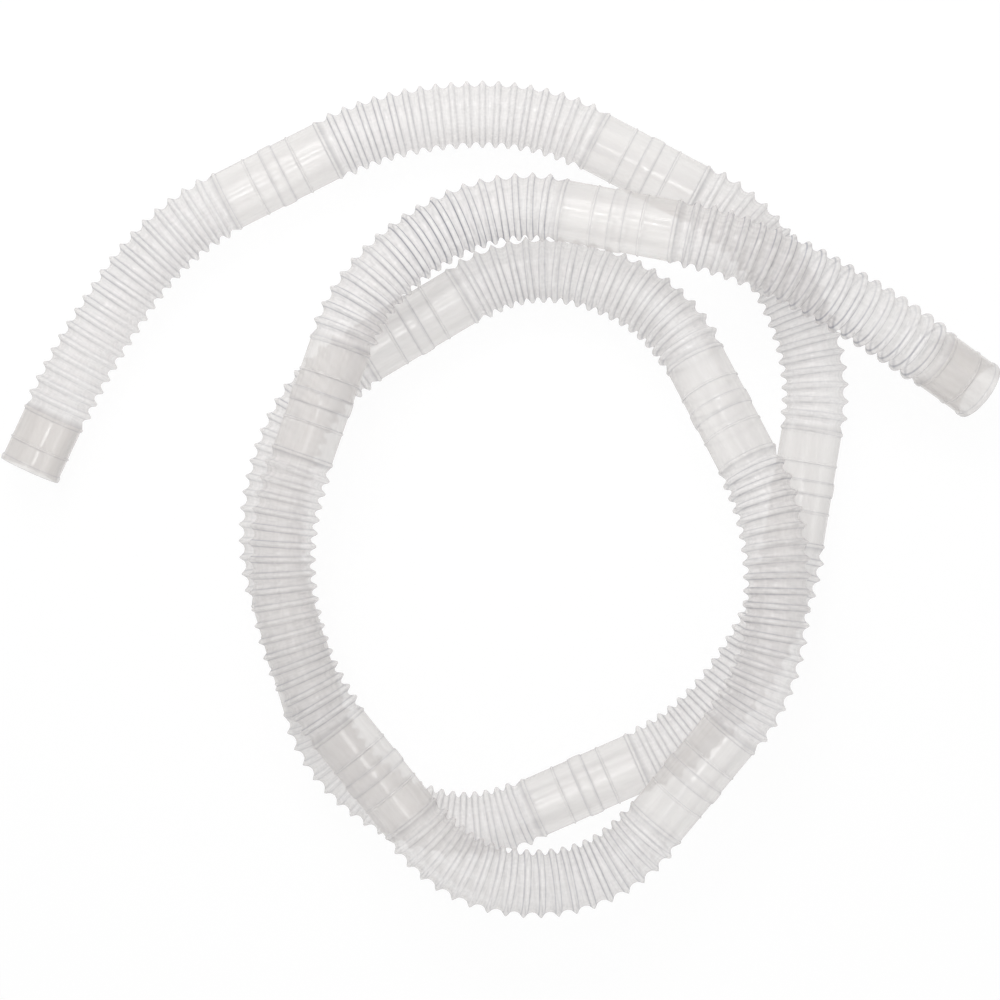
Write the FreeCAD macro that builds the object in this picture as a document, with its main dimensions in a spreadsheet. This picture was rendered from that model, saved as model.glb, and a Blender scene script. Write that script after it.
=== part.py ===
"""Corrugated breathing tube, lying in a loose coil of about one turn and two thirds.

The tube is blown in one piece. Twelve bellows of eighteen crests each alternate with plain cuffs where the
length may be cut. The two outermost cuffs have been cut: each is half of a cuff, with an open mouth that
pushes over a round connector. The frame is +X to the right and +Y up as the coil is seen from above, +Z up
from the table, and the origin is on the table under the middle of the coil. Sizes are in millimetres.
"""

import FreeCAD, Part
import math
import os

import Sketcher

from FreeCAD import Placement, Rotation, Vector

# Every size that can be set by itself, with what it measures.
SIZES = [
    ("crest_diameter", 26.0, "outside of a corrugation's crest"),
    ("valley_diameter", 21.4, "outside of the valley between two crests"),
    ("crests_per_bellows", 18, "crests between two cuffs"),
    ("first_crest", 5.4, "from a cuff's end to the nearest crest"),
    ("first_valley", 2.6, "from a cuff's end to the bottom of its neck"),
    ("bellows_bore", 19.0, "clear way through the bellows, corner to corner"),
    ("cuff_diameter", 23.3, "outside of a cuff's plain wall"),
    ("cuff_bore", 22.0, "inside of a cuff"),
    ("cuff_length", 45.4, "whole cuff, from bead to bead"),
    ("bead_diameter", 24.6, "collar where a cuff meets its bellows"),
    ("bead_width", 1.4, "length of that collar"),
    ("dome_diameter", 24.3, "raised band at the middle of a cuff, where it may be cut"),
    ("dome_width", 4.8, "length of that band"),
    ("mouth_length", 23.0, "cut cuff, from its bead to its rim"),
    ("rim_diameter", 24.4, "thick lip round a mouth"),
    ("rim_width", 1.8, "length of that lip"),
    ("crossing_gap", 0.3, "between crests where one turn lies over another"),
    ("facets", 12, "flat sides of the bellows and cuffs"),
    ("bore_facets", 8, "flat sides of the way through them"),
    ("crests_per_bore_step", 3, "crests that one straight step of the way through spans"),
]

# The route's turning points in order along the tube: across, up, and the height as a share of one layer.
# Level 0 lies on the table and level 1 lies on the turn below.
ROUTE = [
    (-182.0, 9.5, 0.00),
    (-161.0, 54.5, 0.00),
    (-129.0, 102.0, 0.00),
    (-42.0, 146.0, 0.00),
    (15.0, 149.5, 0.00),
    (102.5, 103.5, 0.00),
    (126.5, 51.0, 0.00),
    (110.5, -47.0, 0.00),
    (78.5, -93.5, 0.00),
    (-15.0, -134.5, 0.00),
    (-64.0, -107.5, 0.00),
    (-91.5, -14.5, 0.00),
    (-74.5, 41.0, 0.00),
    (12.5, 93.0, 0.00),
    (64.5, 75.0, 0.21),
    (107.5, -11.0, 0.96),
    (104.5, -70.5, 1.03),
    (41.0, -148.0, 0.86),
    (-13.0, -147.5, 1.01),
    (-75.0, -70.0, 1.01),
    (-85.0, -17.5, 1.01),
    (-50.5, 82.5, 0.97),
    (-1.5, 113.5, 0.72),
    (93.0, 94.5, 1.16),
    (144.0, 68.0, 0.80),
    (186.0, 40.0, 0.29),
]

# How far the middle of each whole cuff lies past the turning point before it.
CUFF_SEATS = [48.5, 48.2, 48.1, 48.4, 48.2, 49.1, 48.0, 48.4, 53.0, 56.2, 49.1]

# Share of the shorter run that an arc takes from each of its two runs.
ARC_SHARE = 0.45

# Corners closer to one plane than this count as flat.
FLAT = 1e-7

NODE = "corrugated_tube"


def make_sheet(doc):
    """Keep the driving sizes in a spreadsheet, one alias a row."""
    sheet = doc.addObject("Spreadsheet::Sheet", "Sizes")
    for row, (alias, value, meaning) in enumerate(SIZES, start=1):
        sheet.set("A%d" % row, alias)
        sheet.set("B%d" % row, str(value))
        sheet.set("C%d" % row, meaning)
        sheet.setAlias("B%d" % row, alias)
    doc.recompute()
    return sheet


def route_points(sheet):
    """Turning points in millimetres: the lowest crest stands on the table."""
    layer = sheet.crest_diameter + sheet.crossing_gap
    return [Vector(x, y, sheet.crest_diameter / 2 + level * layer) for x, y, level in ROUTE]


class Path:
    """Straight runs joined by tangent arcs, measured by length from the first mouth."""

    def __init__(self, points):
        self.edges = []
        self.radii = []
        # For each turning point, how far its arc reaches along a run and the length at which the arc ends.
        self.reach = [0.0] * len(points)
        self.arc_end = [0.0] * len(points)
        done = 0.0
        start = points[0]
        for i in range(1, len(points) - 1):
            before = points[i] - points[i - 1]
            after = points[i + 1] - points[i]
            turn = before.getAngle(after)
            reach = ARC_SHARE * min(before.Length, after.Length)
            radius = reach / math.tan(turn / 2)
            unit_in = before / before.Length
            unit_out = after / after.Length
            arc_start = points[i] - unit_in * reach
            arc_stop = points[i] + unit_out * reach
            inward = (unit_out - unit_in).normalize()
            centre = points[i] + inward * (radius / math.cos(turn / 2))
            middle = centre - inward * radius
            line = Part.LineSegment(start, arc_start).toShape()
            bend = Part.Arc(arc_start, middle, arc_stop).toShape()
            self.edges += [line, bend]
            done += line.Length + bend.Length
            self.radii.append(radius)
            self.reach[i] = reach
            self.arc_end[i] = done
            start = arc_stop
        last = Part.LineSegment(start, points[-1]).toShape()
        self.edges.append(last)
        self.length = done + last.Length

    def at(self, distance):
        """Point and direction at a distance along the path."""
        left = distance
        for edge in self.edges[:-1]:
            if left <= edge.Length:
                break
            left -= edge.Length
        else:
            edge = self.edges[-1]
        parameter = edge.getParameterByLength(min(left, edge.Length))
        return edge.valueAt(parameter), edge.tangentAt(parameter).normalize()

    def wire(self):
        return Part.Wire(self.edges)


class Ring:
    """Regular polygon square to the path, with corners to both sides, above and below."""

    def __init__(self, path, distance, radius, sides):
        self.centre, along = path.at(distance)
        side = Vector(0, 0, 1).cross(along).normalize()
        up = along.cross(side)
        self.corners = []
        for i in range(sides):
            angle = 2 * math.pi * i / sides
            self.corners.append(self.centre + side * (radius * math.cos(angle)) + up * (radius * math.sin(angle)))
        self.spots = [Part.Vertex(corner) for corner in self.corners]
        self.edges = [Part.Edge(self.spots[i], self.spots[(i + 1) % sides]) for i in range(sides)]

    def wire(self):
        return Part.Wire(self.edges)


def cuff_middles(path):
    """Distance along the path to the middle of each whole cuff."""
    middles = []
    for i, seat in enumerate(CUFF_SEATS):
        point = 2 + 2 * i
        middles.append(path.arc_end[point] + seat - path.reach[point])
    return middles


def bellows_spans(sheet, path):
    """Start and end of each bellows along the path."""
    half = sheet.cuff_length / 2
    starts = [sheet.mouth_length]
    ends = []
    for middle in cuff_middles(path):
        ends.append(middle - half)
        starts.append(middle + half)
    ends.append(path.length - sheet.mouth_length)
    return list(zip(starts, ends))


def valleys(sheet, start, end):
    """Places of the valleys of one bellows, from the neck at one cuff to the neck at the next."""
    count = int(sheet.crests_per_bellows)
    pitch = (end - start - 2 * sheet.first_crest) / (count - 1)
    between = [start + sheet.first_crest + pitch * (i + 0.5) for i in range(count - 1)]
    return [start + sheet.first_valley] + between + [end - sheet.first_valley]


def crests(sheet, start, end):
    """Places of the crests of one bellows, evenly spaced."""
    count = int(sheet.crests_per_bellows)
    pitch = (end - start - 2 * sheet.first_crest) / (count - 1)
    return [start + sheet.first_crest + pitch * i for i in range(count)]


def outer_stations(sheet, path):
    """Place and radius of every ring of the outside, from one cut cuff to the other."""
    crest = sheet.crest_diameter / 2
    valley = sheet.valley_diameter / 2
    bead = sheet.bead_diameter / 2
    wall = sheet.cuff_diameter / 2
    dome = sheet.dome_diameter / 2
    half = sheet.cuff_length / 2
    spans = bellows_spans(sheet, path)
    stations = []
    for number, (start, end) in enumerate(spans):
        stations.append((start, wall if number == 0 else bead))
        hollows = valleys(sheet, start, end)
        for low, high in zip(hollows, crests(sheet, start, end)):
            stations.append((low, valley))
            stations.append((high, crest))
        stations.append((hollows[-1], valley))
        if number == len(spans) - 1:
            stations.append((end, wall))
        else:
            middle = end + half
            stations.append((end, bead))
            stations.append((end + sheet.bead_width, wall))
            stations.append((middle - sheet.dome_width / 2, wall))
            stations.append((middle, dome))
            stations.append((middle + sheet.dome_width / 2, wall))
            stations.append((middle + half - sheet.bead_width, wall))
    return stations


def inner_stations(sheet, path):
    """Place and radius of every ring of the way through, from one cut cuff to the other."""
    narrow = sheet.bellows_bore / 2
    wide = sheet.cuff_bore / 2
    step = int(sheet.crests_per_bore_step)
    spans = bellows_spans(sheet, path)
    stations = []
    for number, (start, end) in enumerate(spans):
        if number == 0:
            stations.append((start, narrow))
        hollows = valleys(sheet, start, end)
        places = hollows[:-1:step] + hollows[-1:]
        stations += [(place, narrow) for place in places]
        if number < len(spans) - 1:
            following = spans[number + 1][0]
            stations.append((end + sheet.bead_width, wide))
            stations.append((following - sheet.bead_width, wide))
        else:
            stations.append((end, narrow))
    return stations


def facing(before, after, outward):
    """Flat facets from one ring to the next, sharing their edges, each facing away from the wall."""
    count = len(after.corners)
    middle = (before.centre + after.centre) / 2
    ribs = [Part.Edge(before.spots[i], after.spots[i]) for i in range(count)]
    faces = []
    for i in range(count):
        k = (i + 1) % count
        normal = (before.corners[k] - before.corners[i]).cross(after.corners[i] - before.corners[i]).normalize()
        lift = abs(normal.dot(after.corners[k] - before.corners[i]))
        if lift < FLAT:
            faces.append(Part.Face(Part.Wire([before.edges[i], ribs[k], after.edges[i], ribs[i]])))
        else:
            # On a bend the four corners don't share a plane, so the facet is folded along a diagonal.
            tie = Part.Edge(before.spots[i], after.spots[k])
            faces.append(Part.Face(Part.Wire([before.edges[i], ribs[k], tie])))
            faces.append(Part.Face(Part.Wire([tie, after.edges[i], ribs[i]])))
    for face in faces:
        away = face.normalAt(0, 0).dot(face.CenterOfMass - middle)
        if (away > 0) != outward:
            face.reverse()
    return faces


def run_solid(path, outside, inside, sides, bore_sides):
    """The whole length between the two mouths: outer skin, way through and two flat end rings."""
    skin = [Ring(path, distance, radius, sides) for distance, radius in outside]
    way = [Ring(path, distance, radius, bore_sides) for distance, radius in inside]
    faces = []
    for before, after in zip(skin, skin[1:]):
        faces += facing(before, after, True)
    for before, after in zip(way, way[1:]):
        faces += facing(before, after, False)
    middle = path.length / 2
    for rim, hole, distance in ((skin[0], way[0], 0.0), (skin[-1], way[-1], path.length)):
        end = Part.makeFace([rim.wire(), hole.wire()], "Part::FaceMakerBullseye")
        along = path.at(distance)[1]
        if (end.normalAt(0, 0).dot(along) > 0) != (distance > middle):
            end.reverse()
        faces.append(end)
    return Part.Solid(Part.Shell(faces))


def expected_volume(stations, sides):
    """Section times length, ring by ring, for regular polygons."""
    share = sides / 2 * math.sin(2 * math.pi / sides)
    total = 0.0
    for (here, first), (there, second) in zip(stations, stations[1:]):
        total += share * (there - here) * (first * first + first * second + second * second) / 3
    return total


def mouth(doc, name, place):
    """A cut cuff turned about its own axis, from its bead at the bellows to its rim."""
    body = doc.addObject("PartDesign::Body", name)
    body.Label = name
    plane = [item for item in body.Origin.OriginFeatures if item.Role == "XZ_Plane"][0]
    sketch = body.newObject("Sketcher::SketchObject", name + "_profile")
    sketch.AttachmentSupport = [(plane, "")]
    sketch.MapMode = "FlatFace"
    # Corners of the half section: distance from the axis, and from the bellows.
    corners = [
        ("Sizes.cuff_bore / 2", None),
        ("Sizes.bead_diameter / 2", None),
        ("Sizes.cuff_diameter / 2", "Sizes.bead_width"),
        ("Sizes.cuff_diameter / 2", "Sizes.mouth_length - 1.5 * Sizes.rim_width"),
        ("Sizes.rim_diameter / 2", "Sizes.mouth_length - Sizes.rim_width"),
        ("Sizes.rim_diameter / 2", "Sizes.mouth_length"),
        ("Sizes.cuff_bore / 2", "Sizes.mouth_length"),
    ]
    count = len(corners)
    rough = [Vector(10 + 1.5 * (i in range(1, count - 1)), 3 * max(0, i - 1), 0) for i in range(count)]
    rough[-1].y = rough[-2].y
    for i in range(count):
        sketch.addGeometry(Part.LineSegment(rough[i], rough[(i + 1) % count]), False)
    for i in range(count):
        sketch.addConstraint(Sketcher.Constraint("Coincident", i, 2, (i + 1) % count, 1))
    for i, (across, along) in enumerate(corners):
        sketch.addConstraint(Sketcher.Constraint("DistanceX", -1, 1, i, 1, rough[i].x))
        sketch.setExpression("Constraints[%d]" % (sketch.ConstraintCount - 1), across)
        if along is None:
            sketch.addConstraint(Sketcher.Constraint("PointOnObject", i, 1, -1))
        else:
            sketch.addConstraint(Sketcher.Constraint("DistanceY", -1, 1, i, 1, rough[i].y))
            sketch.setExpression("Constraints[%d]" % (sketch.ConstraintCount - 1), along)
    doc.recompute()
    turned = body.newObject("PartDesign::Revolution", name + "_turned")
    turned.Profile = sketch
    turned.ReferenceAxis = (sketch, ["V_Axis"])
    turned.Angle = 360.0
    sketch.Visibility = False
    body.Placement = place
    doc.recompute()
    return body


def end_place(path, distance, outward):
    """Placement on the path with +Z towards the mouth."""
    point, along = path.at(distance)
    return Placement(point, Rotation(Vector(0, 0, 1), along * outward))


def check(doc):
    """Stop if anything in the document failed."""
    for item in doc.Objects:
        if "Invalid" in item.State or "Error" in item.State:
            raise RuntimeError("%s failed: %s" % (item.Name, item.State))


def main():
    doc = FreeCAD.newDocument("CorrugatedTube")
    sheet = make_sheet(doc)
    path = Path(route_points(sheet))

    route = doc.addObject("Part::Feature", "route")
    route.Label = "route"
    route.Shape = path.wire()
    route.Placement = Placement()

    outside = outer_stations(sheet, path)
    inside = inner_stations(sheet, path)
    run = doc.addObject("Part::Feature", "bellows_and_cuffs")
    run.Label = "bellows_and_cuffs"
    run.Shape = run_solid(path, outside, inside, int(sheet.facets), int(sheet.bore_facets))
    run.Placement = Placement()

    first = mouth(doc, "first_mouth", end_place(path, sheet.mouth_length, -1))
    last = mouth(doc, "last_mouth", end_place(path, path.length - sheet.mouth_length, 1))

    tube = doc.addObject("Part::MultiFuse", NODE)
    tube.Label = NODE
    tube.Shapes = [run, first, last]
    tube.Refine = False
    tube.Placement = Placement()
    doc.recompute()

    check(doc)
    shape = tube.Shape
    if shape.isNull() or not shape.isValid() or len(shape.Solids) != 1:
        raise RuntimeError("the tube isn't one sound solid")

    print("arc radii in mm:", ", ".join("%.0f" % radius for radius in path.radii))
    print("length along the middle: %.1f mm" % path.length)
    wanted = expected_volume(outside, int(sheet.facets)) - expected_volume(inside, int(sheet.bore_facets))
    print("volume of the run: %.0f mm3, section times length %.0f mm3" % (run.Shape.Volume, wanted))
    box = shape.BoundBox
    print("box: x %.2f..%.2f y %.2f..%.2f z %.2f..%.2f" % (box.XMin, box.XMax, box.YMin, box.YMax, box.ZMin, box.ZMax))

    os.makedirs("parts", exist_ok=True)
    shape.exportStep("parts/%s.step" % tube.Label)


main()
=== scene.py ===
"""A corrugated breathing tube of clear plastic, lying in a loose coil on a white table and seen from above.

The tube is one mesh that follows its route. Twelve bellows of eighteen crests alternate with plain cuffs, and
each end is a cut cuff with a thick lip. Sizes are in metres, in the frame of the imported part.
"""

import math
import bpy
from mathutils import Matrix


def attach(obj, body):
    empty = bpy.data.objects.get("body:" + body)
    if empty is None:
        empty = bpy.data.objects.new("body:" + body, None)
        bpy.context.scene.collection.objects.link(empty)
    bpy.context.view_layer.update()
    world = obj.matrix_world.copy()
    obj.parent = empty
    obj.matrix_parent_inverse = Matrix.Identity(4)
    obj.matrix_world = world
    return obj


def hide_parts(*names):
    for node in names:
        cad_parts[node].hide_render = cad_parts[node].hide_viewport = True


bl_info = {
    "name": "Corrugated Tube",
    "version": (1, 0, 0),
    "blender": (4, 5, 0),
    "location": "View3D > Sidebar > Tube",
    "description": "Lays a clear corrugated tube along its route and sets its stage",
    "category": "Object",
}

import bmesh
import bpy
import numpy as np
from mathutils import Vector

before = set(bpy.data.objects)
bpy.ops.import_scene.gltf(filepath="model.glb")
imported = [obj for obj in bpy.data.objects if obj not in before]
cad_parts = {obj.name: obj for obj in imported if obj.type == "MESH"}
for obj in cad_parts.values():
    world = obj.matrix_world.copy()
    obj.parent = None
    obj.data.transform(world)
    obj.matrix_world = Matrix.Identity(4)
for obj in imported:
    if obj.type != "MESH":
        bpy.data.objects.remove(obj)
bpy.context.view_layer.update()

# Points of the route along the tube's middle line. Each whole cuff has a point before it, its own middle
# and a point after it. Each cut cuff has its mouth and a point inside it.
ROUTE = [
    (-0.1820, 0.0095, 0.0130),
    (-0.1770, 0.0203, 0.0130),
    (-0.1610, 0.0545, 0.0130),
    (-0.1290, 0.1020, 0.0130),
    (-0.0857, 0.1239, 0.0130),
    (-0.0420, 0.1460, 0.0130),
    (0.0150, 0.1495, 0.0130),
    (0.0577, 0.1271, 0.0130),
    (0.1025, 0.1035, 0.0130),
    (0.1265, 0.0510, 0.0130),
    (0.1187, 0.0036, 0.0130),
    (0.1105, -0.0470, 0.0130),
    (0.0785, -0.0935, 0.0130),
    (0.0342, -0.1129, 0.0130),
    (-0.0150, -0.1345, 0.0130),
    (-0.0640, -0.1075, 0.0130),
    (-0.0777, -0.0613, 0.0130),
    (-0.0915, -0.0145, 0.0130),
    (-0.0745, 0.0410, 0.0130),
    (-0.0324, 0.0662, 0.0130),
    (0.0125, 0.0930, 0.0130),
    (0.0645, 0.0750, 0.0185),
    (0.0856, 0.0329, 0.0282),
    (0.1075, -0.0110, 0.0382),
    (0.1045, -0.0705, 0.0401),
    (0.0739, -0.1079, 0.0379),
    (0.0410, -0.1480, 0.0356),
    (-0.0130, -0.1475, 0.0396),
    (-0.0461, -0.1061, 0.0396),
    (-0.0750, -0.0700, 0.0396),
    (-0.0850, -0.0175, 0.0396),
    (-0.0667, 0.0356, 0.0390),
    (-0.0505, 0.0825, 0.0385),
    (-0.0015, 0.1135, 0.0319),
    (0.0463, 0.1039, 0.0378),
    (0.0930, 0.0945, 0.0435),
    (0.1440, 0.0680, 0.0340),
    (0.1760, 0.0467, 0.0238),
    (0.1860, 0.0400, 0.0206),
]

# Places in the route of the middle of each whole cuff.
CUFF_POINTS = range(4, len(ROUTE) - 4, 3)

PIECE = "corrugated_tubing"
NODE = "corrugated_tube"

# Steps of the spline between two points of the route, and how many of its points one smoothed bend takes in.
SPLINE_STEPS = 32
BEND_WINDOW = 9

# Points nearer to each other than this are one.
MERGE = 1e-7

# Rings from a crest to the middle of its valley, as shares of that distance.
FOLD_STEPS = (0.17, 0.34, 0.50, 0.70)

# Distance from a crest that stands for a ring far from any crest.
PLAIN = 0.004

# A fold's sharpness, how much of it a stretch of the wall takes away, and its least and most.
SHARPNESS = 3.0
SHARPNESS_LOST = 4.0
SHARPNESS_LIMITS = (2.2, 4.2)

# Raised details: distance from the detail's place, share of its height, strength of the painted shade line
# beside it.
BEAD = (
    (0.0, 0.30, 0.9),
    (0.0003, 0.85, 0.2),
    (0.0007, 1.0, 0.0),
    (0.0011, 0.85, 0.2),
    (0.0014, 0.25, 1.0),
    (0.0017, 0.0, 0.5),
    (0.0021, 0.0, 0.0),
)
RIB = (
    (-0.0011, 0.0, 0.0),
    (-0.0007, 0.0, 0.2),
    (-0.0004, 0.30, 0.7),
    (-0.0002, 0.85, 0.2),
    (0.0, 1.0, 0.0),
    (0.0002, 0.85, 0.2),
    (0.0004, 0.30, 1.0),
    (0.0007, 0.0, 0.4),
    (0.0011, 0.0, 0.0),
)
DOME_SLOPE = (
    (-0.0011, 0.0, 0.0),
    (-0.0006, 0.05, 0.5),
    (-0.0003, 0.45, 1.0),
    (0.0, 0.75, 0.4),
    (0.0003, 0.85, 0.7),
    (0.0007, 0.92, 0.0),
)

# Lip of a mouth: distance back from the rim, how far it stands out of the cuff's wall, strength of the
# painted shade line.
LIP = (
    (0.0032, 0.0, 0.0),
    (0.0026, 0.0, 0.3),
    (0.0023, 0.0002, 1.0),
    (0.0019, 0.00045, 0.3),
    (0.0012, 0.0005, 0.0),
    (0.0005, 0.00045, 0.0),
    (0.0001, 0.0003, 0.5),
    (0.0, 0.0, 0.8),
)

# Inside of the rim: distance back from the rim, how far it lies out of the bore, strength of the painted
# shade line.
INNER_RIM = (
    (0.0, 0.0003, 0.5),
    (0.0002, 0.0001, 0.2),
    (0.0006, 0.0, 0.0),
)

# Rings of the bore as shares of the mouth's length, then where the bore ends and how near it comes to the
# wall.
BORE_STEPS = (0.75, 0.5, 0.25)
BORE_END = 0.0012
BORE_GAP = 0.0002

# Painted shade and refraction line along each flank of a crest: distance from the crest, where it has faded
# out and where it is full.
LINE_PLACE = 0.00115
LINE_FADE = 0.00036
LINE_CORE = 0.00010

# Strength of the painted shade lines where they are weakest and strongest, and beside the ribs and beads.
LINE_STRENGTH = (0.16, 0.64)
RIB_STRENGTH = 0.58

# The painted shade lines grow stronger between these two distances along the tube, by this factor.
LAST_BELLOWS = (1.50, 1.68)
LAST_STRENGTH = 1.9

# Width of the change from bellows to cuff, as distances from a crest.
BELLOWS_EDGE = (0.0036, 0.0030)

# Patterns: cells to a metre, or cells to a metre along the tube and a radius around it in cells.
LINE_PATCHES = 18.0
STREAKS = (1500.0, 2.5)
BANDS = (18.0, 2.3)
GLOSS_PATCHES = (110.0, 2.0)

# Part of each noise's range that is spread out over its pattern.
LINE_NOISE = (0.35, 0.65)
STREAK_NOISE = (0.45, 0.70)
BAND_NOISE = (0.34, 0.66)
GLOSS_NOISE = (0.36, 0.62)

# Share of the painted shade colour in the bellows' painted refraction streaks, and in the painted reflection
# bands of the cuffs and of the bellows.
STREAK_SHARE = 0.17
CUFF_BAND_SHARE = 0.22
BELLOWS_BAND_SHARE = 0.05

# Share of the edge colour, which is partly the denser wall seen edge-on and partly a painted dark reflection,
# and the power of the wall's slant that it follows.
EDGE_SHARE = 0.5
EDGE_POWER = 7.0

# Factors on the film in the clearest and the densest band, and how much a painted shade line adds to it.
BAND_FILM = (0.76, 1.26)
LINE_FILM = 0.22

ROUGHNESS = (0.07, 0.19)
IOR = 1.5
SPECULAR = 0.65

# Lamps: name, place, what it is aimed at, side, spread in degrees, power in watts.
LAMPS = (
    ("window", (-0.15, 0.60, 0.70), (0.0, 0.18, 0.0), 0.40, 70.0, 0.62),
    ("ceiling", (0.0, -0.10, 1.20), (0.0, 0.0, 0.0), 0.22, 180.0, 1.9),
    ("panel", (-0.20, 0.28, 1.20), (0.0, 0.0, 0.0), 0.14, 180.0, 1.2),
)

# The camera's place over the table, its sensor's width in millimetres and its clipping distances.
CAMERA_PLACE = (0.001, -0.002)
SENSOR = 36.0
CLIP = (0.01, 10.0)


class TubeSizes(bpy.types.PropertyGroup):
    """Sizes of the tube's wall."""

    crest_diameter: bpy.props.FloatProperty(
        name="Crest diameter", description="Outside of a corrugation's crest",
        default=0.0260, unit="LENGTH"
    )
    valley_diameter: bpy.props.FloatProperty(
        name="Valley diameter", description="Outside of the valley between crests",
        default=0.0214, unit="LENGTH"
    )
    crests: bpy.props.IntProperty(
        name="Crests", description="Crests of one bellows",
        default=18, min=3
    )
    crest_width: bpy.props.FloatProperty(
        name="Crest width", description="Width of a crest at half of its height",
        default=0.0023, unit="LENGTH"
    )
    first_crest: bpy.props.FloatProperty(
        name="First crest", description="From a cuff's end to the nearest crest",
        default=0.0054, unit="LENGTH"
    )
    first_valley: bpy.props.FloatProperty(
        name="First valley", description="From a cuff's end to the bottom of its neck",
        default=0.0026, unit="LENGTH"
    )
    cuff_diameter: bpy.props.FloatProperty(
        name="Cuff diameter", description="Outside of a cuff's plain wall",
        default=0.0233, unit="LENGTH"
    )
    cuff_length: bpy.props.FloatProperty(
        name="Cuff length", description="Whole cuff from bead to bead",
        default=0.0454, unit="LENGTH"
    )
    mouth_length: bpy.props.FloatProperty(
        name="Mouth length", description="Cut cuff from its bead to its rim",
        default=0.0230, unit="LENGTH"
    )
    bore_diameter: bpy.props.FloatProperty(
        name="Bore diameter", description="Inside of a mouth",
        default=0.0220, unit="LENGTH"
    )
    bead_height: bpy.props.FloatProperty(
        name="Bead height", description="How far the collar at a cuff's end stands out",
        default=0.0006, unit="LENGTH"
    )
    rib_height: bpy.props.FloatProperty(
        name="Rib height", description="How far the fine rib on a cuff stands out",
        default=0.0004, unit="LENGTH"
    )
    rib_place: bpy.props.FloatProperty(
        name="Rib place", description="From a cuff's end to its fine rib",
        default=0.0132, unit="LENGTH"
    )
    dome_height: bpy.props.FloatProperty(
        name="Dome height", description="How far the band at a cuff's middle stands out",
        default=0.0005, unit="LENGTH"
    )
    dome_width: bpy.props.FloatProperty(
        name="Dome width", description="Length of the band where a cuff may be cut",
        default=0.0048, unit="LENGTH"
    )
    around: bpy.props.IntProperty(
        name="Steps around", description="Steps of the wall around the tube",
        default=36, min=12
    )


class PlasticLook(bpy.types.PropertyGroup):
    """Colours and clearness of the plastic, with the colours of its painted shade and painted reflection."""

    body: bpy.props.FloatVectorProperty(
        name="Body", description="Colour of the plastic",
        default=(0.985, 0.96, 0.945), subtype="COLOR", min=0.0, max=1.0
    )
    cuff_body: bpy.props.FloatVectorProperty(
        name="Cuff body", description="Colour of the thicker walls of the cuffs",
        default=(0.94, 0.905, 0.875), subtype="COLOR", min=0.0, max=1.0
    )
    # Painted shade: dark colour of the painted lines along the crests and ribs, also used for the painted
    # refraction streaks and painted reflection bands.
    painted_shade_and_refraction: bpy.props.FloatVectorProperty(
        name="Crease", description="Colour of the dark lines along the crests and beside the ribs",
        default=(0.27, 0.28, 0.33), subtype="COLOR", min=0.0, max=1.0
    )
    # Darker where the wall is seen edge-on: partly the denser wall, partly a painted dark reflection.
    edge_and_reflection_colour: bpy.props.FloatVectorProperty(
        name="Edge colour", description="Colour where the wall is seen along its surface",
        default=(0.76, 0.72, 0.69), subtype="COLOR", min=0.0, max=1.0
    )
    bellows_film: bpy.props.FloatProperty(
        name="Bellows film", description="Share of what is behind that one wall of the bellows hides",
        default=0.45, min=0.0, max=1.0, subtype="FACTOR"
    )
    cuff_film: bpy.props.FloatProperty(
        name="Cuff film", description="Share of what is behind that one wall of a cuff hides",
        default=0.40, min=0.0, max=1.0, subtype="FACTOR"
    )
    edge_film: bpy.props.FloatProperty(
        name="Edge film", description="The same share where the wall is seen along its surface",
        default=0.80, min=0.0, max=1.0, subtype="FACTOR"
    )
    glow: bpy.props.FloatProperty(
        name="Glow", description="Share of the wall's light that comes through it from behind",
        default=0.42, min=0.0, max=1.0, subtype="FACTOR"
    )


class StageLook(bpy.types.PropertyGroup):
    """Table, lamps and camera."""

    table: bpy.props.FloatVectorProperty(
        name="Table", description="Colour of the table",
        default=(0.93, 0.93, 0.93), subtype="COLOR", min=0.0, max=1.0
    )
    white: bpy.props.FloatProperty(
        name="White", description="Share of plain white that the lens sees in the table",
        default=0.92, min=0.0, max=1.0, subtype="FACTOR"
    )
    table_reach: bpy.props.FloatProperty(
        name="Table reach", description="From the middle of the table to its sides",
        default=12.0, unit="LENGTH"
    )
    room: bpy.props.FloatProperty(
        name="Room", description="Strength of the even light of the room",
        default=0.68, min=0.0
    )
    camera_height: bpy.props.FloatProperty(
        name="Camera height", description="Lens above the table",
        default=1.05, unit="LENGTH"
    )
    lens: bpy.props.FloatProperty(
        name="Lens", description="Focal length in millimetres",
        default=96.0, min=1.0
    )


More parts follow.
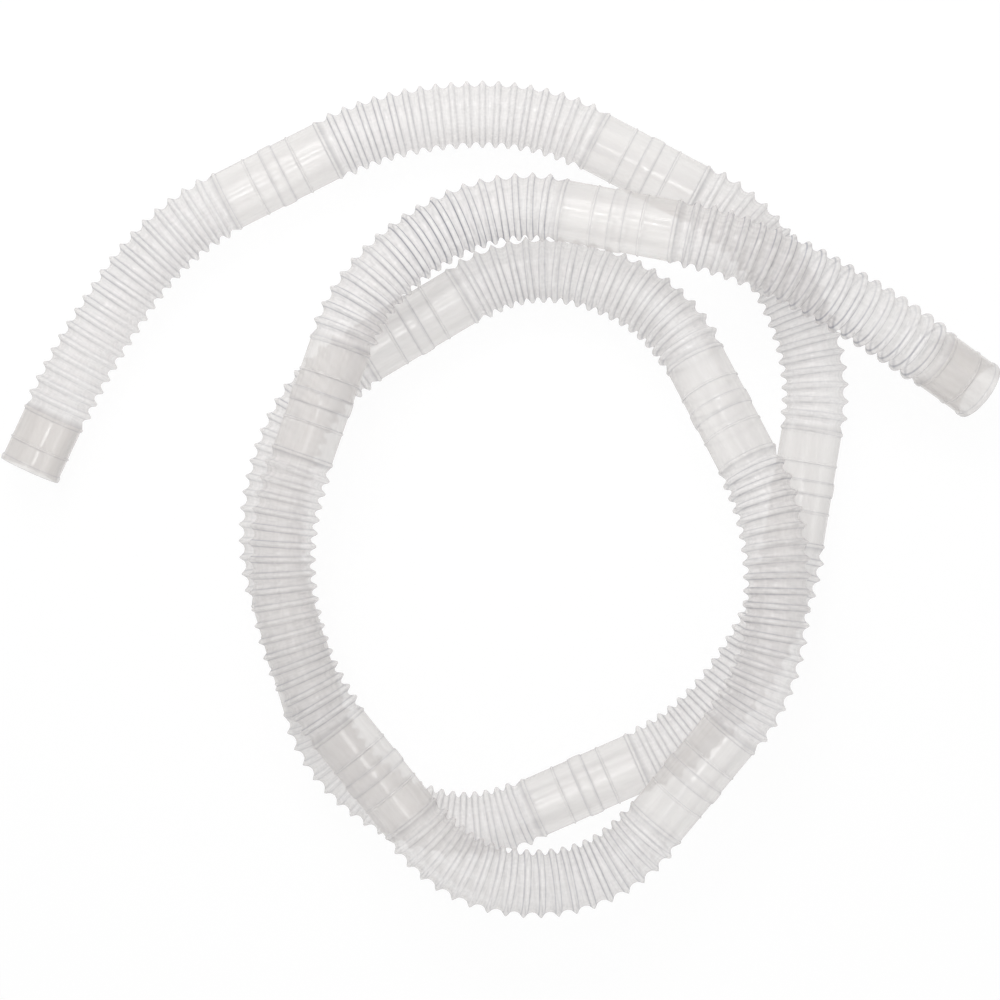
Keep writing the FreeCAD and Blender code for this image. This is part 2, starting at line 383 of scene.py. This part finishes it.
class Path:
    """The route's spline as close points, with a direction and a distance at each."""

    def __init__(self):
        line = bpy.data.curves.new("route", "CURVE")
        line.dimensions = "3D"
        line.resolution_u = SPLINE_STEPS
        spline = line.splines.new("NURBS")
        spline.points.add(len(ROUTE) - 1)
        for point, place in zip(spline.points, ROUTE):
            point.co = (*place, 1.0)
        spline.order_u = 3
        spline.use_endpoint_u = True
        holder = bpy.data.objects.new("route", line)
        bpy.context.scene.collection.objects.link(holder)
        bpy.context.view_layer.update()
        mesh = bpy.data.meshes.new_from_object(holder)
        self.points = np.array([v.co for v in mesh.vertices], float)
        bpy.data.meshes.remove(mesh)
        bpy.data.objects.remove(holder)
        bpy.data.curves.remove(line)
        steps = np.linalg.norm(np.diff(self.points, axis=0), axis=1)
        self.distance = np.concatenate([[0.0], np.cumsum(steps)])
        self.along = np.gradient(self.points, self.distance, axis=0)
        self.length = float(self.distance[-1])

    def distance_of(self, place):
        """Distance along the route to the point nearest a place."""
        return float(self.distance[np.linalg.norm(self.points - np.array(place), axis=1).argmin()])

    def between(self, vectors, distances):
        """Vectors that are known at the points, worked out at other distances."""
        return np.stack([np.interp(distances, self.distance, vectors[:, k]) for k in range(3)], axis=1)

    def bend(self, distances):
        """Curvature of the route as a vector towards the inner side of the bend, smoothed a little."""
        turning = np.gradient(self.along, self.distance, axis=0)
        window = np.ones(BEND_WINDOW) / BEND_WINDOW
        smooth = np.stack([np.convolve(turning[:, k], window, "same") for k in range(3)], axis=1)
        return self.between(smooth, distances)

    def frames(self, distances):
        """Points on the route, with directions to the tube's side and to its upper side."""
        centre = self.between(self.points, distances)
        along = self.between(self.along, distances)
        along /= np.linalg.norm(along, axis=1)[:, None]
        side = np.cross([0.0, 0.0, 1.0], along)
        side /= np.linalg.norm(side, axis=1)[:, None]
        return centre, side, np.cross(along, side)


class Wall:
    """Rings of the wall along the route.

    Each place holds the distance along the route, the radius, the distance from the nearest crest, that
    distance in the middle of the valley, and the strength of the dark line. A ring of the bellows has no
    radius of its own. It is worked out around the tube, because the crests keep their width while the
    valleys open on the outer side of a bend and close on its inner side.
    """

    def __init__(self, sizes, path):
        self.sizes = sizes
        self.path = path
        self.places = []

    def fold(self, distance, offset, reach):
        self.places.append((distance, 0.0, offset, reach, 0.0))

    def ring(self, distance, radius, mark=0.0):
        self.places.append((distance, radius, PLAIN, PLAIN, mark))

    def bellows(self, start, end):
        """Crests and valleys between two cuffs."""
        s = self.sizes
        pitch = (end - start - 2 * s.first_crest) / (s.crests - 1)
        neck = s.first_crest - s.first_valley
        self.fold(start + s.first_valley, neck, neck)
        for i in range(s.crests):
            crest = start + s.first_crest + i * pitch
            before = pitch / 2 if i else neck
            after = pitch / 2 if i < s.crests - 1 else neck
            for share in reversed(FOLD_STEPS):
                self.fold(crest - share * before, share * before, before)
            self.fold(crest, 0.0, after)
            for share in FOLD_STEPS:
                self.fold(crest + share * after, share * after, after)
            self.fold(crest + after, after, after)

    def half_cuff(self, end, inward):
        """Bead, plain wall and fine rib, going from a cuff's end towards its middle."""
        s = self.sizes
        wall = s.cuff_diameter / 2
        rows = [(d, wall + share * s.bead_height, mark) for d, share, mark in BEAD]
        rows += [(s.rib_place + d, wall + share * s.rib_height, mark) for d, share, mark in RIB]
        return [(end + inward * d, radius, PLAIN, PLAIN, mark) for d, radius, mark in rows]

    def whole_cuff(self, start, end):
        """One cuff between two bellows, with the raised band at its middle."""
        s = self.sizes
        wall = s.cuff_diameter / 2
        middle = (start + end) / 2
        half = s.dome_width / 2
        self.places += self.half_cuff(start, 1)
        for d, share, mark in DOME_SLOPE:
            self.ring(middle - half + d, wall + share * s.dome_height, mark)
        self.ring(middle, wall + s.dome_height)
        for d, share, mark in reversed(DOME_SLOPE):
            self.ring(middle + half - d, wall + share * s.dome_height, mark)
        self.places += reversed(self.half_cuff(end, -1))

    def mouth(self, end, outward):
        """A cut cuff from its bead out to the rim and back inside."""
        s = self.sizes
        wall = s.cuff_diameter / 2
        bore = s.bore_diameter / 2
        length = s.mouth_length
        lip = [(length - back, wall + out, mark) for back, out, mark in LIP]
        lip += [(length - back, bore + out, mark) for back, out, mark in INNER_RIM]
        lip += [(length * share, bore, 0.0) for share in BORE_STEPS]
        lip += [(BORE_END, bore, 0.0), (0.0, wall - BORE_GAP, 0.0)]
        rows = list(self.half_cuff(end, outward))
        rows += [(end + outward * d, radius, PLAIN, PLAIN, mark) for d, radius, mark in lip]
        return rows

    def lay_out(self):
        """Every ring of the wall, from inside the first mouth to inside the last."""
        s = self.sizes
        middles = [self.path.distance_of(ROUTE[i]) for i in CUFF_POINTS]
        starts = [s.mouth_length] + [m + s.cuff_length / 2 for m in middles]
        ends = [m - s.cuff_length / 2 for m in middles] + [self.path.length - s.mouth_length]
        self.places += reversed(self.mouth(starts[0], -1))
        for number, (start, end) in enumerate(zip(starts, ends)):
            self.bellows(start, end)
            if number < len(middles):
                self.whole_cuff(end, starts[number + 1])
        self.places += self.mouth(ends[-1], 1)
        return self.places


def fold_height(offset, reach, stretch, half_width):
    """Height of the fold as a share of its depth, for a wall that a bend stretches or closes."""
    sharpness = np.clip(SHARPNESS - SHARPNESS_LOST * (stretch - 1.0), *SHARPNESS_LIMITS)

    def crest(distance):
        return 1.0 / (1.0 + (distance * stretch / half_width) ** sharpness)

    floor = crest(reach)
    return (crest(offset) - floor) / (1.0 - floor)


class TUBE_OT_lay(bpy.types.Operator):
    """Make the tube's wall and lay it along its route"""

    bl_idname = "tube.lay"
    bl_label = "Lay the tube"

    def execute(self, context):
        sizes = context.scene.tube_sizes
        path = Path()
        places = Wall(sizes, path).lay_out()

        bm = bmesh.new()
        names = ("radius", "offset", "reach", "mark")
        layers = [bm.verts.layers.float.new(name) for name in names]
        chain = []
        for distance, *values in places:
            vert = bm.verts.new((sizes.cuff_diameter / 2, 0.0, distance))
            for layer, value in zip(layers, values):
                vert[layer] = value
            chain.append(vert)
        edges = [bm.edges.new(pair) for pair in zip(chain, chain[1:])]
        bmesh.ops.spin(
            bm, geom=chain + edges, cent=(0, 0, 0), axis=(0, 0, 1), angle=2 * math.pi,
            steps=sizes.around, use_merge=True
        )
        for face in bm.faces:
            face.smooth = True
        mesh = bpy.data.meshes.new(PIECE)
        bm.to_mesh(mesh)
        bm.free()

        count = len(mesh.vertices)
        straight = np.zeros(count * 3)
        mesh.vertices.foreach_get("co", straight)
        straight = straight.reshape(-1, 3)
        values = {}
        for name in names:
            values[name] = np.zeros(count)
            mesh.attributes[name].data.foreach_get("value", values[name])
        turn = np.arctan2(straight[:, 1], straight[:, 0])
        distance = straight[:, 2]
        centre, side, up = path.frames(distance)
        bend = path.bend(distance)
        outward = side * np.cos(turn)[:, None] + up * np.sin(turn)[:, None]
        crest_radius = sizes.crest_diameter / 2
        stretch = 1.0 - np.einsum("ij,ij->i", outward, bend) * crest_radius
        height = fold_height(values["offset"], values["reach"], stretch, sizes.crest_width / 2)
        valley = sizes.valley_diameter / 2
        radius = np.where(values["radius"] > 0.0, values["radius"], valley + height * (crest_radius - valley))
        laid = centre + outward * radius[:, None]
        mesh.vertices.foreach_set("co", laid.ravel())
        mesh.attributes["offset"].data.foreach_set("value", values["offset"] * stretch)
        for name, data in (("turn", turn), ("along", distance)):
            layer = mesh.attributes.new(name, "FLOAT", "POINT")
            layer.data.foreach_set("value", data)
        for name in ("radius", "reach"):
            mesh.attributes.remove(mesh.attributes[name])
        mesh.update()
        bm = bmesh.new()
        bm.from_mesh(mesh)
        bmesh.ops.remove_doubles(bm, verts=bm.verts, dist=MERGE)
        bmesh.ops.recalc_face_normals(bm, faces=bm.faces)
        bm.to_mesh(mesh)
        bm.free()

        tube = bpy.data.objects.new(PIECE, mesh)
        context.scene.collection.objects.link(tube)
        mesh.materials.append(plastic(context.scene.plastic_look))
        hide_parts(NODE)
        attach(tube, "root")
        return {"FINISHED"}


class Nodes:
    """A material's nodes, with short ways to add and join them."""

    def __init__(self, name):
        self.material = bpy.data.materials.new(name)
        self.material.use_nodes = True
        self.tree = self.material.node_tree
        self.tree.nodes.clear()

    def add(self, kind):
        return self.tree.nodes.new(kind)

    def put(self, socket, value):
        """Join a socket to another, or set its value."""
        if isinstance(value, bpy.types.NodeSocket):
            self.tree.links.new(value, socket)
        else:
            socket.default_value = value

    def maths(self, operation, *values, clamp=False):
        node = self.add("ShaderNodeMath")
        node.operation = operation
        node.use_clamp = clamp
        for socket, value in zip(node.inputs, values):
            self.put(socket, value)
        return node.outputs[0]

    def spread(self, value, low, high, to_low=0.0, to_high=1.0, smooth=False):
        node = self.add("ShaderNodeMapRange")
        if smooth:
            node.interpolation_type = "SMOOTHSTEP"
        self.put(node.inputs["Value"], value)
        node.inputs["From Min"].default_value = low
        node.inputs["From Max"].default_value = high
        self.put(node.inputs["To Min"], to_low)
        self.put(node.inputs["To Max"], to_high)
        return node.outputs["Result"]

    def blend(self, factor, first, second):
        node = self.add("ShaderNodeMix")
        node.data_type = "RGBA"
        self.put(node.inputs["Factor"], factor)
        for socket, value in ((node.inputs[6], first), (node.inputs[7], second)):
            self.put(socket, value if isinstance(value, bpy.types.NodeSocket) else (*value, 1.0))
        return node.outputs[2]

    def attribute(self, name):
        node = self.add("ShaderNodeAttribute")
        node.attribute_name = name
        return node.outputs["Fac"]

    def wrapped(self, lengthwise, around):
        """Vector for patterns that follow the tube: its length and the place round its wall."""
        vector = self.add("ShaderNodeCombineXYZ")
        turn = self.attribute("turn")
        self.put(vector.inputs["X"], self.maths("MULTIPLY", self.attribute("along"), lengthwise))
        self.put(vector.inputs["Y"], self.maths("MULTIPLY", self.maths("SINE", turn), around))
        self.put(vector.inputs["Z"], self.maths("MULTIPLY", self.maths("COSINE", turn), around))
        return vector.outputs["Vector"]

    def noise(self, vector, scale, detail=2.0):
        node = self.add("ShaderNodeTexNoise")
        self.put(node.inputs["Vector"], vector)
        node.inputs["Scale"].default_value = scale
        node.inputs["Detail"].default_value = detail
        return node.outputs["Fac"]


def plastic(look):
    """Clear plastic film: see-through square on, denser along its edges, with painted shade lines along the
    crests, painted refraction streaks and painted reflection bands.
    """
    n = Nodes("clear_plastic")
    place = n.add("ShaderNodeTexCoord").outputs["Object"]
    offset = n.attribute("offset")
    # Strength of the painted shade line beside each bead, rib, dome edge and lip.
    mark = n.attribute("mark")

    # A painted shade line runs along each flank of a crest and beside the ribs, in uneven strength, where the
    # folds would be shaded and bend the light. The last bellows have stronger lines.
    away = n.maths("ABSOLUTE", n.maths("SUBTRACT", offset, LINE_PLACE))
    flank = n.spread(away, LINE_FADE, LINE_CORE, smooth=True)
    patchy = n.spread(n.noise(place, LINE_PATCHES), *LINE_NOISE, *LINE_STRENGTH)
    stronger = n.spread(n.attribute("along"), *LAST_BELLOWS, 1.0, LAST_STRENGTH)
    line = n.maths("MULTIPLY", flank, n.maths("MULTIPLY", patchy, stronger))
    ribs = n.maths("MULTIPLY", n.maths("POWER", mark, 2.0), RIB_STRENGTH)
    painted_shade_and_refraction = n.maths("MAXIMUM", line, ribs)

    # Painted refraction: fine dark streaks run around the bellows. Painted reflection: broad uneven bands run
    # along the cuffs.
    streak = n.noise(n.wrapped(*STREAKS), 1.0)
    bands = n.spread(n.noise(n.wrapped(*BANDS), 1.0), *BAND_NOISE)
    bellows = n.spread(offset, *BELLOWS_EDGE)

    steep = n.add("ShaderNodeLayerWeight")
    steep.inputs["Blend"].default_value = 0.5
    grazing = n.maths("POWER", steep.outputs["Facing"], EDGE_POWER)

    body = n.blend(bellows, look.cuff_body, look.body)
    # Painted refraction streaks darken the bellows' body.
    streaks = n.maths("MULTIPLY", n.spread(streak, *STREAK_NOISE), bellows)
    body = n.blend(n.maths("MULTIPLY", streaks, STREAK_SHARE), body, look.painted_shade_and_refraction)
    # Painted reflection bands darken the cuffs and, faintly, the bellows.
    band_share = n.spread(bellows, 0.0, 1.0, CUFF_BAND_SHARE, BELLOWS_BAND_SHARE)
    body = n.blend(n.maths("MULTIPLY", bands, band_share), body, look.painted_shade_and_refraction)
    # Edge-on the body turns darker: partly the denser wall, partly a painted dark reflection.
    body = n.blend(n.maths("MULTIPLY", grazing, EDGE_SHARE), body, look.edge_and_reflection_colour)
    # The painted shade lines go over the body colour.
    colour = n.blend(painted_shade_and_refraction, body, look.painted_shade_and_refraction)

    film = n.spread(bellows, 0.0, 1.0, look.cuff_film, look.bellows_film)
    film = n.maths("MULTIPLY", film, n.spread(bands, 0.0, 1.0, *BAND_FILM))
    film = n.spread(grazing, 0.0, 1.0, film, look.edge_film)
    film = n.maths("MULTIPLY_ADD", painted_shade_and_refraction, LINE_FILM, film, clamp=True)

    shader = n.add("ShaderNodeBsdfPrincipled")
    n.put(shader.inputs["Base Color"], colour)
    roughness = n.spread(n.noise(n.wrapped(*GLOSS_PATCHES), 1.0), *GLOSS_NOISE, *ROUGHNESS)
    n.put(shader.inputs["Roughness"], roughness)
    shader.inputs["IOR"].default_value = IOR
    shader.inputs["Specular IOR Level"].default_value = SPECULAR

    # Part of the light passes through the wall and spreads, so flanks turned from the lamps stay pale.
    glow = n.add("ShaderNodeBsdfTranslucent")
    n.put(glow.inputs["Color"], colour)
    skin = n.add("ShaderNodeMixShader")
    skin.inputs[0].default_value = look.glow
    n.put(skin.inputs[1], shader.outputs[0])
    n.put(skin.inputs[2], glow.outputs[0])
    clear = n.add("ShaderNodeBsdfTransparent")
    wall = n.add("ShaderNodeMixShader")
    n.put(wall.inputs[0], film)
    n.put(wall.inputs[1], clear.outputs[0])
    n.put(wall.inputs[2], skin.outputs[0])
    output = n.add("ShaderNodeOutputMaterial")
    n.put(output.inputs["Surface"], wall.outputs[0])
    return n.material


class TUBE_OT_stage(bpy.types.Operator):
    """Set the table, the lamps and the camera"""

    bl_idname = "tube.stage"
    bl_label = "Set the stage"

    def execute(self, context):
        look = context.scene.stage_look
        scene = context.scene
        scene.view_settings.view_transform = "Standard"

        bm = bmesh.new()
        bmesh.ops.create_grid(bm, x_segments=1, y_segments=1, size=look.table_reach)
        mesh = bpy.data.meshes.new("table")
        bm.to_mesh(mesh)
        bm.free()
        table = bpy.data.objects.new("table", mesh)
        scene.collection.objects.link(table)
        mesh.materials.append(table_top(look))

        world = bpy.data.worlds.new("room")
        world.use_nodes = True
        back = world.node_tree.nodes["Background"]
        back.inputs["Color"].default_value = (1.0, 1.0, 1.0, 1.0)
        back.inputs["Strength"].default_value = look.room
        scene.world = world

        for name, place, aim, size, spread, power in LAMPS:
            lamp = bpy.data.lights.new(name, "AREA")
            lamp.shape = "SQUARE"
            lamp.size = size
            lamp.energy = power
            lamp.spread = math.radians(spread)
            holder = bpy.data.objects.new(name, lamp)
            holder.location = place
            holder.rotation_mode = "QUATERNION"
            holder.rotation_quaternion = (Vector(aim) - Vector(place)).to_track_quat("-Z", "Y")
            scene.collection.objects.link(holder)

        camera = bpy.data.cameras.new("camera")
        camera.lens = look.lens
        camera.sensor_width = SENSOR
        camera.clip_start, camera.clip_end = CLIP
        holder = bpy.data.objects.new("camera", camera)
        holder.location = (*CAMERA_PLACE, look.camera_height)
        scene.collection.objects.link(holder)
        scene.camera = holder
        return {"FINISHED"}


def table_top(look):
    """Plain white table that keeps the tube's shadow and looks white to the lens."""
    n = Nodes("table_top")
    top = n.add("ShaderNodeBsdfDiffuse")
    top.inputs["Color"].default_value = (*look.table, 1.0)
    white = n.add("ShaderNodeEmission")
    ray = n.add("ShaderNodeLightPath").outputs
    mirrored = n.maths("MAXIMUM", ray["Is Glossy Ray"], ray["Is Transmission Ray"])
    seen = n.maths("MAXIMUM", ray["Is Camera Ray"], mirrored)
    mix = n.add("ShaderNodeMixShader")
    n.put(mix.inputs[0], n.maths("MULTIPLY", seen, look.white))
    n.put(mix.inputs[1], top.outputs[0])
    n.put(mix.inputs[2], white.outputs[0])
    output = n.add("ShaderNodeOutputMaterial")
    n.put(output.inputs["Surface"], mix.outputs[0])
    return n.material


class TUBE_PT_panel(bpy.types.Panel):
    """Sizes, looks and steps of the tube"""

    bl_idname = "TUBE_PT_panel"
    bl_label = "Corrugated tube"
    bl_space_type = "VIEW_3D"
    bl_region_type = "UI"
    bl_category = "Tube"

    def draw(self, context):
        layout = self.layout
        layout.operator(TUBE_OT_lay.bl_idname)
        layout.operator(TUBE_OT_stage.bl_idname)
        for group in (context.scene.tube_sizes, context.scene.plastic_look, context.scene.stage_look):
            box = layout.box()
            for name in group.__annotations__:
                box.prop(group, name)


CLASSES = (TubeSizes, PlasticLook, StageLook, TUBE_OT_lay, TUBE_OT_stage, TUBE_PT_panel)


def register():
    for cls in CLASSES:
        bpy.utils.register_class(cls)
    bpy.types.Scene.tube_sizes = bpy.props.PointerProperty(type=TubeSizes)
    bpy.types.Scene.plastic_look = bpy.props.PointerProperty(type=PlasticLook)
    bpy.types.Scene.stage_look = bpy.props.PointerProperty(type=StageLook)


def unregister():
    del bpy.types.Scene.stage_look
    del bpy.types.Scene.plastic_look
    del bpy.types.Scene.tube_sizes
    for cls in reversed(CLASSES):
        bpy.utils.unregister_class(cls)


def main():
    register()
    bpy.ops.tube.lay()
    bpy.ops.tube.stage()


if __name__ == "__main__":
    main()
